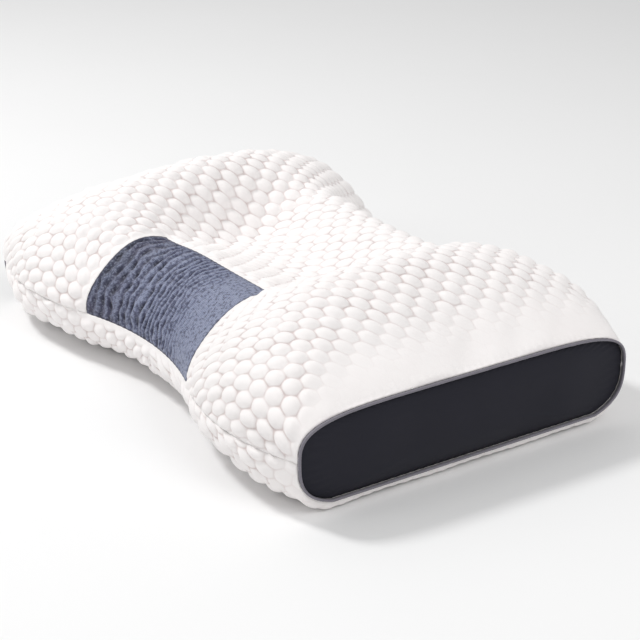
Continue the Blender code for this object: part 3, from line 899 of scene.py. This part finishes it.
def make_end_panel(name, side, navy):
    """The end cloth, pushed out into a low crown and drawn in along the piping."""
    rings = end_panel_rings(side)
    faces = grid_faces(*rings.shape[:2], closed=True).reshape(-1, 4)
    if side < 0:
        faces = faces[:, ::-1]
    points = rings.reshape(-1, 3)
    panel = mesh_object(name, points, faces, points[:, 1:])
    close_middle(panel, side)
    node = name.replace("navy_end", "end_panel")
    return finish_piece(panel, navy, "pillow", node)


def make_end_piping(name, side, grey):
    """Cloth tape round a thin cord, with the tape's flange running in between the panels."""
    outline, length = end_outline(PIPING_INSET, PIPING_STEPS)
    outward = outward_normals(outline)
    around = np.arange(PIPING_STEPS) / PIPING_STEPS * length
    angle = np.arange(PIPING_TURNS) / PIPING_TURNS * 2 * math.pi
    swell = 1 + 0.05 * waves(around, around, 0.02, 41)[:, None]
    squash = 1 - 0.10 * (0.5 + 0.5 * np.sin(around * 2 * math.pi / 0.0034))[:, None]
    radius = PIPING_RADIUS * swell * squash
    radial = radius * np.cos(angle)[None, :]
    axial = radius * np.sin(angle)[None, :]
    tail = np.exp(-(((angle - 1.5 * math.pi) / 0.5) ** 2))[None, :]
    axial = axial - 0.0030 * tail
    radial = radial * (1 - 0.5 * tail)
    yz = outline[:, None, :] + outward[:, None, :] * radial[..., None]
    x = side * (HALF_LENGTH + PIPING_OUT + axial)
    points = np.concatenate([x[..., None], yz], axis=-1)
    uv = np.stack(np.broadcast_arrays(around[:, None], angle[None, :] * PIPING_RADIUS), axis=-1)
    faces = grid_faces(PIPING_STEPS, PIPING_TURNS, closed=True, ring=True).reshape(-1, 4)
    piece = mesh_object(name, points.reshape(-1, 3), faces, uv.reshape(-1, 2))
    face_outwards(piece)
    node = name.replace("piping", "end_piping")
    return finish_piece(piece, grey, "pillow", node)


# ---- filling and the sewn walls between its chambers ----

def chamber_rings(stations, front=None, back=None, steps=44):
    """Rings round a chamber of fibre, lumpy as teased fibre is."""
    rings = []
    for x in stations:
        x = float(x)
        start = -1.0 if front is None else float(across_at(x, front, CORE_INSET))
        end = 1.0 if back is None else float(across_at(x, back, CORE_INSET))
        across = np.linspace(start, end, steps)
        top = section_points(np.full(steps, x), across, True, CORE_INSET)
        base = section_points(np.full(steps, x), across[::-1], False, CORE_INSET)
        ring = np.concatenate([top, base[1:-1] if front is None and back is None else base])
        middle = ring.mean(0)
        out = ring - middle
        out /= np.linalg.norm(out, axis=1, keepdims=True) + 1e-9
        angle = np.linspace(0, 0.6, len(ring), endpoint=False)
        lump = waves(x, angle, 0.035, 51) + 0.6 * waves(x, angle, 0.016, 52)
        seam = np.sin(np.linspace(0, math.pi, len(ring)))
        rings.append(ring + out * (0.0009 * lump * seam - 0.0008)[:, None])
    return np.array(rings)


def make_cores(fibre):
    near = SIDE_WALL_X + WALL_GAP
    far = HALF_LENGTH - CORE_INSET
    middle = np.linspace(-SIDE_WALL_X + WALL_GAP, SIDE_WALL_X - WALL_GAP, 44)
    chambers = {
        "fibre_wing_right": (np.linspace(near, far, 26), None, None, "wing_core_right"),
        "fibre_wing_left": (np.linspace(-far, -near, 26), None, None, "wing_core_left"),
        "fibre_neck_roll": (middle, None, NECK_WALL_Y - WALL_GAP, "neck_roll_core"),
        "fibre_head": (middle, NECK_WALL_Y + WALL_GAP, None, "head_core"),
    }
    for name, (stations, front, back, node) in chambers.items():
        core = loft_object(name, chamber_rings(stations, front, back))
        finish_piece(core, fibre, "pillow", node)


def wall_sheet(name, points, liner, node):
    """A thin sewn wall with small ripples from the stitching along its edges."""
    run = run_lengths(points)
    rise = np.linalg.norm(np.diff(points, axis=0), axis=2)
    down = np.concatenate([np.zeros((1, points.shape[1])), np.cumsum(rise, axis=0)])
    normals = grid_normals(points)
    ripple = 0.0004 * waves(run, down, 0.03, 61) * smoothstep(np.minimum(run, run[:, -1:] - run), 0, 0.01)
    sheet = grid_object(name, points + normals * ripple[..., None], np.stack([run, down], -1))
    finish_piece(sheet, liner, "pillow", node)


def wall_points(x, across):
    """A wall's grid, from the upper skin of the filling down to the lower one."""
    share = np.linspace(0, 1, WALL_ROWS)[:, None, None]
    top = section_points(x, across, True, CORE_INSET)
    base = section_points(x, across, False, CORE_INSET)
    return top[None] * (1 - share) + base[None] * share


def make_walls(liner):
    across = np.linspace(-0.985, 0.985, WALL_COLUMNS)
    for side, x in (("right", SIDE_WALL_X), ("left", -SIDE_WALL_X)):
        points = wall_points(np.full(WALL_COLUMNS, x), across)
        wall_sheet("side_wall_cloth_" + side, points, liner, "side_wall_" + side)
    x = np.linspace(-SIDE_WALL_X + WALL_GAP, SIDE_WALL_X - WALL_GAP, 70)
    points = wall_points(x, across_at(x, NECK_WALL_Y, CORE_INSET))
    wall_sheet("neck_wall_cloth", points, liner, "neck_wall")


# ---- zip ----

def track_points(angle, depth, height):
    """Points by angle along the zip, depth into the pillow and height over the seam."""
    radius = WAIST_ARC + depth
    x = TRACK_CENTRE.x + radius * np.sin(angle)
    y = TRACK_CENTRE.y - radius * np.cos(angle)
    z = TRACK_CENTRE.z + height
    return np.stack(np.broadcast_arrays(x, y, z), axis=-1)


def make_zip_tape(name, sign, tape, node):
    """Half of the zip's tape: a woven strip that runs in under the cover's turned edge."""
    angle = np.linspace(-TAPE_HALF_ANGLE, TAPE_HALF_ANGLE, 180)[:, None]
    across = np.linspace(0, 1, 9)[None, :]
    height = TAPE_Z[0] + (TAPE_Z[1] - TAPE_Z[0]) * across
    along = angle * WAIST_ARC
    ripple = 0.00012 * np.sin(along * 2 * math.pi / 0.011) * across
    depth = TAPE_DEPTH + TAPE_LEAN * across**2 + ripple
    points = track_points(angle, depth, sign * height)
    uv = np.stack(np.broadcast_arrays(along, height), axis=-1)
    piece = grid_object(name, points, uv, flip=sign > 0)
    finish_piece(piece, tape, "pillow", node)


def make_zip_coil(name, sign, coil, node):
    """One side's nylon coil: a flattened helix of wire with a tooth head in each turn."""
    reach = COIL_HALF_ANGLE * WAIST_ARC
    turns = int(2 * reach / COIL_PITCH)
    per_turn, sides = 10, 6
    t = np.linspace(0, turns, turns * per_turn + 1)
    phase = t * 2 * math.pi + (0 if sign > 0 else math.pi)
    angle = (-reach + t * COIL_PITCH) / WAIST_ARC
    height = sign * COIL_Z - sign * 1.05 * COIL_RADIUS * np.cos(phase)
    depth = COIL_DEPTH + 0.62 * COIL_RADIUS * np.sin(phase)
    line = track_points(angle, depth, height)
    tangent = np.gradient(line, axis=0)
    tangent /= np.linalg.norm(tangent, axis=1, keepdims=True)
    side_axis = np.cross(tangent, np.array([1.0, 0.0, 0.0]))
    side_axis /= np.linalg.norm(side_axis, axis=1, keepdims=True) + 1e-9
    other = np.cross(tangent, side_axis)
    ring = np.arange(sides) / sides * 2 * math.pi
    bead = COIL_WIRE * (1 + 0.35 * hump(np.cos(phase), 1.0, 0.4))[:, None, None]
    out = side_axis[:, None, :] * np.cos(ring)[None, :, None]
    out = out + other[:, None, :] * np.sin(ring)[None, :, None]
    piece = loft_object(name, line[:, None, :] + out * bead)
    return finish_piece(piece, coil, "pillow", node)


def track_metal(name, blocks, angle, voxel):
    """Joins blocks, given by corners along the track, into one rounded piece at an angle of it."""
    bm = bmesh.new()
    for low, high, taper in blocks:
        low, high = Vector(low), Vector(high)
        for vert in bmesh.ops.create_cube(bm, size=1.0)["verts"]:
            share = vert.co + Vector((0.5, 0.5, 0.5))
            vert.co = low + share * (high - low)
            if vert.co.x < 0:
                vert.co.z *= taper
    piece = object_from(name, bm)
    fuse_and_round(piece, voxel)
    for vert in piece.data.vertices:
        vert.co = track_points(angle + vert.co.x / WAIST_ARC, vert.co.y, vert.co.z)
    return piece


def make_slider_body(metal):
    """The slider: a shaped face plate with two flanges, and a bridge for the pull tab."""
    blocks = [
        ((-0.0045, -0.0036, -0.0039), (0.0045, -0.0021, 0.0039), 0.72),
        ((-0.0045, -0.0023, 0.0027), (0.0045, 0.0003, 0.0039), 0.80),
        ((-0.0045, -0.0023, -0.0039), (0.0045, 0.0003, -0.0027), 0.80),
        ((-0.0032, -0.0066, -0.0009), (0.0032, -0.0054, 0.0009), 1.0),
        ((-0.0032, -0.0060, -0.0009), (-0.0020, -0.0033, 0.0009), 1.0),
        ((0.0020, -0.0060, -0.0009), (0.0032, -0.0033, 0.0009), 1.0),
    ]
    body = track_metal("slider_body", blocks, SLIDER_REST_ANGLE, 0.0002)
    return finish_piece(body, metal, "slider", "zip_slider")


def make_stop(side, metal):
    """A clip pinched over both coils, with a pressed waist between its two jaws."""
    node = "zip_stop_" + side
    low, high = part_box(node)
    angle = math.asin((low[0] + high[0]) / 2 / WAIST_ARC)
    blocks = [
        ((-0.0018, -0.0017, 0.0004), (0.0018, 0.0009, 0.0021), 1.0),
        ((-0.0018, -0.0017, -0.0021), (0.0018, 0.0009, -0.0004), 1.0),
        ((-0.0013, -0.0013, -0.0012), (0.0013, 0.0009, 0.0012), 1.0),
    ]
    clip = track_metal("stop_clip_" + side, blocks, angle, 0.00014)
    return finish_piece(clip, metal, "pillow", node)


def apply_modifiers(piece):
    """Replaces the piece's mesh with what its modifiers make of it."""
    graph = bpy.context.evaluated_depsgraph_get()
    mesh = bpy.data.meshes.new_from_object(piece.evaluated_get(graph))
    piece.modifiers.clear()
    piece.data = mesh
    mesh.shade_smooth()


def fuse_and_round(piece, voxel):
    """Joins overlapping blocks into one skin and softens its edges."""
    remesh = piece.modifiers.new("fuse", "REMESH")
    remesh.mode = "VOXEL"
    remesh.voxel_size = voxel
    remesh.use_smooth_shade = True
    soften = piece.modifiers.new("soften", "SMOOTH")
    soften.iterations = 4
    soften.factor = 0.5
    apply_modifiers(piece)


def make_pull_tab(metal):
    """A stamped tab with a window at the bridge and a round end, its edges bevelled."""
    bm = bmesh.new()
    half, bar, window = TAB_WIDTH / 2, 0.0005, 0.0046
    slim = 0.0019
    outer = [(-bar, -slim - 0.0004), (window, -slim - 0.0004), (window + 0.003, -half)]
    for i in range(9):
        turn = -math.pi / 2 + i * math.pi / 8
        outer.append((TAB_LENGTH - half + half * math.cos(turn), half * math.sin(turn)))
    outer += [(window + 0.003, half), (window, slim + 0.0004), (-bar, slim + 0.0004)]
    ring = [bm.verts.new((x, -TAB_THICKNESS / 2, z)) for x, z in outer]
    hole = [(bar, -0.0013), (bar, 0.0013), (window, 0.0013), (window, -0.0013)]
    inner = [bm.verts.new((x, -TAB_THICKNESS / 2, z)) for x, z in hole]
    edges = [bm.edges.new((ring[i], ring[(i + 1) % len(ring)])) for i in range(len(ring))]
    edges += [bm.edges.new((inner[i], inner[(i + 1) % 4])) for i in range(4)]
    made = bmesh.ops.triangle_fill(bm, edges=edges, use_beauty=True)["geom"]
    faces = [g for g in made if isinstance(g, bmesh.types.BMFace)]
    thick = bmesh.ops.extrude_face_region(bm, geom=faces)["geom"]
    for vert in (g for g in thick if isinstance(g, bmesh.types.BMVert)):
        vert.co.y += TAB_THICKNESS
    bmesh.ops.recalc_face_normals(bm, faces=bm.faces)
    tab = object_from("pull_tab", bm)
    bevel = tab.modifiers.new("edges", "BEVEL")
    bevel.width = 0.00018
    bevel.segments = 3
    bevel.limit_method = "ANGLE"
    apply_modifiers(tab)
    pivot = Vector(track_points(SLIDER_REST_ANGLE, TAB_PIVOT, 0.0))
    c, s = math.cos(SLIDER_REST_ANGLE), math.sin(SLIDER_REST_ANGLE)
    for vert in tab.data.vertices:
        x, y, z = vert.co
        vert.co = pivot + Vector((x * c - y * s, x * s + y * c, z))
    tab.data.set_sharp_from_angle(angle=math.radians(40))
    return finish_piece(tab, metal, "pull_tab", "zip_pull_tab")


def make_zip():
    tape, coil, metal = tape_material(), coil_material(), metal_material()
    for name, sign in (("upper", 1), ("lower", -1)):
        make_zip_tape("woven_tape_" + name, sign, tape, "zip_tape_" + name)
        make_zip_coil("nylon_coil_" + name, sign, coil, "zip_coil_" + name)
    make_stop("right", metal)
    make_stop("left", metal)
    make_slider_body(metal)
    make_pull_tab(metal)


# ---- care label ----

def make_label(satin):
    """A blank satin ribbon, sewn into the back seam and curling a little at its free end."""
    across = np.linspace(-0.5, 0.5, 26)[:, None]
    down = np.linspace(-LABEL_TUCK, 1, 34)[None, :]
    x = LABEL_X + LABEL_WIDTH * across
    drop = LABEL_DROP * np.maximum(down, 0.0)
    inside = np.minimum(down, 0.0) * -0.02
    stand = LABEL_STAND_OFF + 0.0022 * smoothstep(down, 0.0, 0.25)
    stand = stand + 0.0012 * np.maximum(down, 0) ** 2 + 0.0006 * np.sin(down * 5 + across * 3)
    stand = stand - 0.0016 * smoothstep(-down, -0.12, 0.12) - inside
    y = half_depth(x) + stand
    z = SEAM_Z - drop + 0 * across
    points = np.stack(np.broadcast_arrays(x, y, z), axis=-1)
    uv = np.stack(np.broadcast_arrays(LABEL_WIDTH * across, drop), axis=-1)
    label = grid_object("satin_care_label", points, uv)
    solid = label.modifiers.new("ribbon", "SOLIDIFY")
    solid.thickness = 0.00035
    solid.offset = 0.0
    apply_modifiers(label)
    finish_piece(label, satin, "pillow", "care_label")


# ---- studio ----

def add_camera():
    """The photograph's viewing direction, from the pillow's near end and neck side."""
    azimuth, elevation = math.radians(VIEW_AZIMUTH), math.radians(VIEW_ELEVATION)
    back = Vector((
        math.sin(azimuth) * math.cos(elevation),
        -math.cos(azimuth) * math.cos(elevation),
        math.sin(elevation),
    ))
    right = Vector((math.cos(azimuth), math.sin(azimuth), 0))
    data = bpy.data.cameras.new("camera")
    data.sensor_width = 36.0
    data.lens = LENS
    camera = link_object("camera", data)
    middle = Vector((0, 0, VIEW_HEIGHT))
    camera.location = middle + back * VIEW_DISTANCE
    aim = middle + right * AIM_RIGHT - back.cross(right) * AIM_DOWN
    camera.rotation_euler = (aim - camera.location).to_track_quat("-Z", "Y").to_euler()
    bpy.context.scene.camera = camera


def area_light(name, place, size, energy):
    data = bpy.data.lights.new(name, "AREA")
    data.shape = "DISK"
    data.size = size
    data.energy = energy
    light = link_object(name, data)
    light.location = place
    light.rotation_euler = (Vector((0, 0, 0.05)) - light.location).to_track_quat("-Z", "Y").to_euler()


def add_studio():
    bm = bmesh.new()
    bmesh.ops.create_grid(bm, x_segments=1, y_segments=1, size=8.0)
    floor = object_from("floor", bm)
    recipe = Recipe("pale_floor", Roughness=0.9)
    cloud = recipe.noise(recipe.place(), 3.0)
    recipe.colour(recipe.mix(cloud, (0.86, 0.86, 0.86, 1), (0.88, 0.88, 0.88, 1)))
    floor.data.materials.append(recipe.material)
    area_light("key", (-1.35, -1.0, 2.25), 0.5, 36)
    area_light("front", (-0.3, -2.3, 1.3), 1.4, 8)
    area_light("end", (2.1, 0.3, 1.9), 1.6, 22)
    world = bpy.data.worlds.new("studio")
    world.use_nodes = True
    background = world.node_tree.nodes["Background"]
    background.inputs["Color"].default_value = (1, 1, 1, 1)
    background.inputs["Strength"].default_value = 0.52
    bpy.context.scene.world = world
    bpy.context.scene.view_settings.view_transform = "Standard"


add_camera()
add_studio()
white_knit = knit_material()
make_top_cover(white_knit)
make_bottom_cover(white_knit)
make_neck_panel(slate_material())
navy, grey = navy_material(), piping_material()
for end_name, end_side in (("right", 1), ("left", -1)):
    make_end_panel("navy_end_" + end_name, end_side, navy)
    make_end_piping("piping_" + end_name, end_side, grey)
make_cores(fibre_material())
make_walls(liner_material())
make_zip()
make_label(satin_material())
